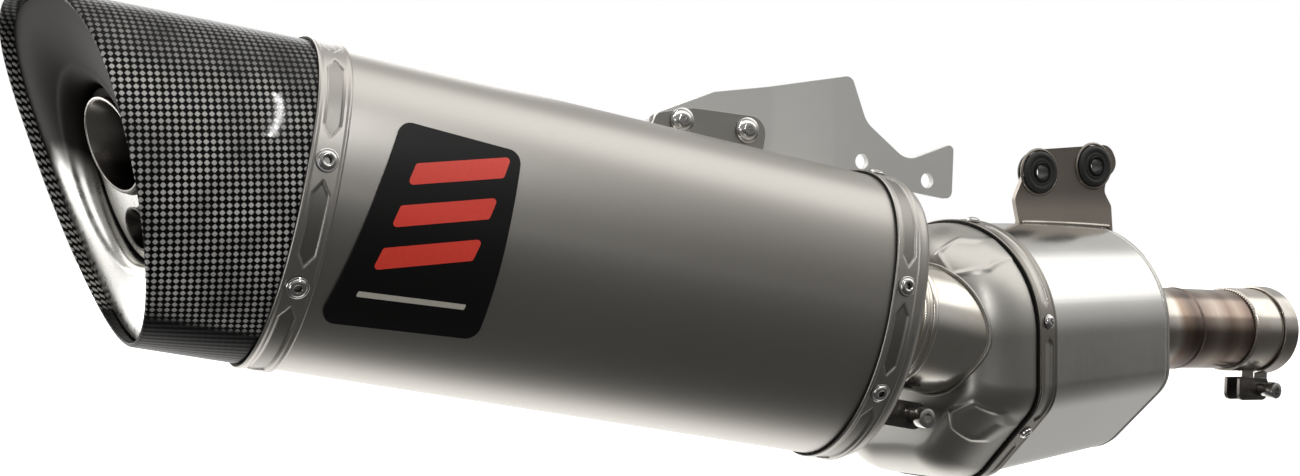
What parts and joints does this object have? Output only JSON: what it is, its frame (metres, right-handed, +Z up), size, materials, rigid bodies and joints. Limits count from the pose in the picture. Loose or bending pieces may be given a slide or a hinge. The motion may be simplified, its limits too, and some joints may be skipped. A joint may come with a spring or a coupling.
{
  "type": "motorcycle exhaust system",
  "caption": "Slip-on silencer with a slanted carbon end cap and twin outlets, joined by a clamped pipe to a mid chamber with frame bracket and clamped inlet.",
  "frame": {"origin": "on the inner face of the frame bracket, midway between its two grommets", "axes": "+X towards the front of the motorcycle, +Y towards its centre line, +Z up"},
  "size_m": [0.7847, 0.1707, 0.241],
  "materials": {
    "titanium": "bead-blasted titanium sheet, satin, warm grey",
    "carbon": "clear-coated plain-weave carbon fibre",
    "satin_steel": "satin steel with a polished rolled lip",
    "stainless": "brushed stainless steel",
    "tinted_steel": "stainless pipe with bronze heat tint",
    "bracket_steel": "dark steel with a brownish oxide",
    "plate_aluminium": "matt pale aluminium sheet",
    "fastener_steel": "bright steel fasteners",
    "rubber": "black moulded rubber",
    "wool": "pale mineral wool",
    "badge": null
  },
  "bodies": {
    "chamber": {"link_pipe": "stainless", "chamber_shell": "stainless", "chamber_rear_cap": "stainless", "chamber_front_cap": "stainless", "chamber_band": "stainless", "chamber_baffle": "stainless", "chamber_core_tube": "stainless", "inlet_pipe": "tinted_steel", "inlet_collar": "stainless", "frame_bracket": "bracket_steel", "grommet_1": "rubber", "grommet_2": "rubber", "grommet_sleeve_1": "fastener_steel", "grommet_sleeve_2": "fastener_steel", "chamber_screw_1": "fastener_steel", "chamber_screw_2": "fastener_steel", "chamber_screw_3": "fastener_steel", "chamber_screw_4": "fastener_steel", "chamber_screw_5": "fastener_steel"},
    "muffler_clamp": {"muffler_clamp_band": "stainless", "muffler_clamp_nut": "fastener_steel"},
    "muffler": {"muffler_sleeve": "titanium", "muffler_front_cap": "titanium", "outlet_band": "titanium", "front_band": "titanium", "carbon_end_cap": "carbon", "outlet_dish": "satin_steel", "outlet_plate": "satin_steel", "outlet_tube_large": "satin_steel", "outlet_tube_small": "satin_steel", "muffler_inlet_sleeve": "stainless", "outlet_bulkhead": "stainless", "mid_baffle": "stainless", "core_tube": "stainless", "packing": "wool", "badge_plate": "badge", "hanger_tab": "stainless", "hanger_plate": "plate_aluminium", "hanger_screw_1": "fastener_steel", "hanger_screw_2": "fastener_steel", "hanger_nut_1": "fastener_steel", "hanger_nut_2": "fastener_steel", "outlet_rivet_1": "fastener_steel", "outlet_rivet_2": "fastener_steel", "outlet_rivet_3": "fastener_steel", "outlet_rivet_4": "fastener_steel", "outlet_rivet_5": "fastener_steel", "front_rivet_1": "fastener_steel", "front_rivet_2": "fastener_steel", "front_rivet_3": "fastener_steel", "front_rivet_4": "fastener_steel", "front_rivet_5": "fastener_steel"},
    "muffler_clamp_screw": {"muffler_clamp_screw": "fastener_steel"},
    "inlet_clamp": {"inlet_clamp_band": "stainless", "inlet_clamp_nut": "fastener_steel"},
    "inlet_clamp_screw": {"inlet_clamp_screw": "fastener_steel"}
  },
  "joints": [
    {"name": "muffler_swivel", "type": "hinge", "parent": "chamber", "child": "muffler_clamp", "pos_m": [-0.16746, -0.0425, -0.08339], "axis": [0.9823, 0, -0.1874], "range_deg": [-8, 8]},
    {"name": "muffler_slip", "type": "slide", "parent": "muffler_clamp", "child": "muffler", "axis": [-0.9823, 0, 0.1874], "range_m": [0, 0.045]},
    {"name": "muffler_clamp_screw_turn", "type": "hinge", "parent": "muffler_clamp", "child": "muffler_clamp_screw", "pos_m": [-0.14489, -0.0425, -0.13585], "axis": [0, 1, 0], "continuous": true},
    {"name": "inlet_clamp_turn", "type": "hinge", "parent": "chamber", "child": "inlet_clamp", "pos_m": [0.1767, 0.01677, -0.10096], "axis": [0.9936, 0.1044, -0.0436], "continuous": true},
    {"name": "inlet_clamp_screw_turn", "type": "hinge", "parent": "inlet_clamp", "child": "inlet_clamp_screw", "pos_m": [0.17404, 0.01649, -0.13928], "axis": [-0.1045, 0.9945, 0], "continuous": true}
  ]
}
